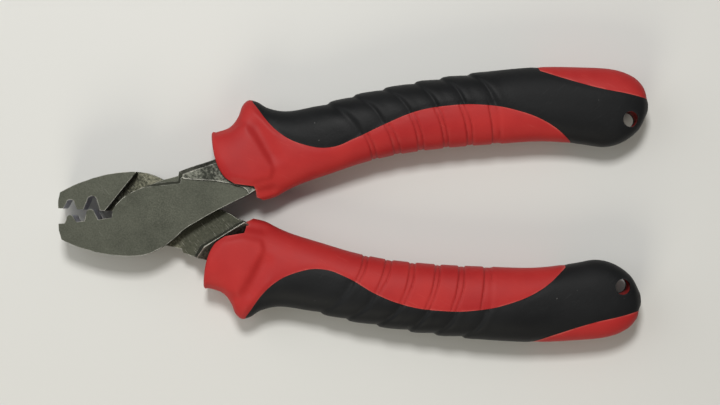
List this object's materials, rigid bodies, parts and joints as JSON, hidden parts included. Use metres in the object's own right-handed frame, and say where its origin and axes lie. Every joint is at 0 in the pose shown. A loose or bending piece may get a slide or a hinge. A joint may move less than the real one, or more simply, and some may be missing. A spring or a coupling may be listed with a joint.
{
  "type": "crimping pliers",
  "caption": "Small hand crimping pliers: lap-jointed steel levers with toothed and notched crimping jaws, and curved two-colour grips with thumb guards and hanging holes.",
  "frame": {"origin": "on the pivot axis, in the plane of the back ground face of the head", "axes": "+X from the pivot towards the ends of the grips, between them; +Y across the head towards the upper grip; +Z out of the front ground face, along the pivot"},
  "size_m": [0.1581, 0.0739, 0.0161],
  "materials": {
    "lever_steel": "sand-blasted dark grey steel, satin",
    "rivet_steel": "ground flush, satin",
    "grip_core": "moulded red plastic, satin",
    "grip_sleeve": "matt black rubber with ribs"
  },
  "bodies": {
    "front_half": {"front_lever": "lever_steel", "pivot_rivet": "rivet_steel", "upper_grip_core": "grip_core", "upper_grip_sleeve": "grip_sleeve"},
    "rear_half": {"rear_lever": "lever_steel", "lower_grip_core": "grip_core", "lower_grip_sleeve": "grip_sleeve"}
  },
  "joints": [
    {"name": "jaw_pivot", "type": "hinge", "parent": "front_half", "child": "rear_half", "pos_m": [0, 0, 0.00475], "axis": [0, 0, 1], "range_deg": [-45, 8]}
  ]
}
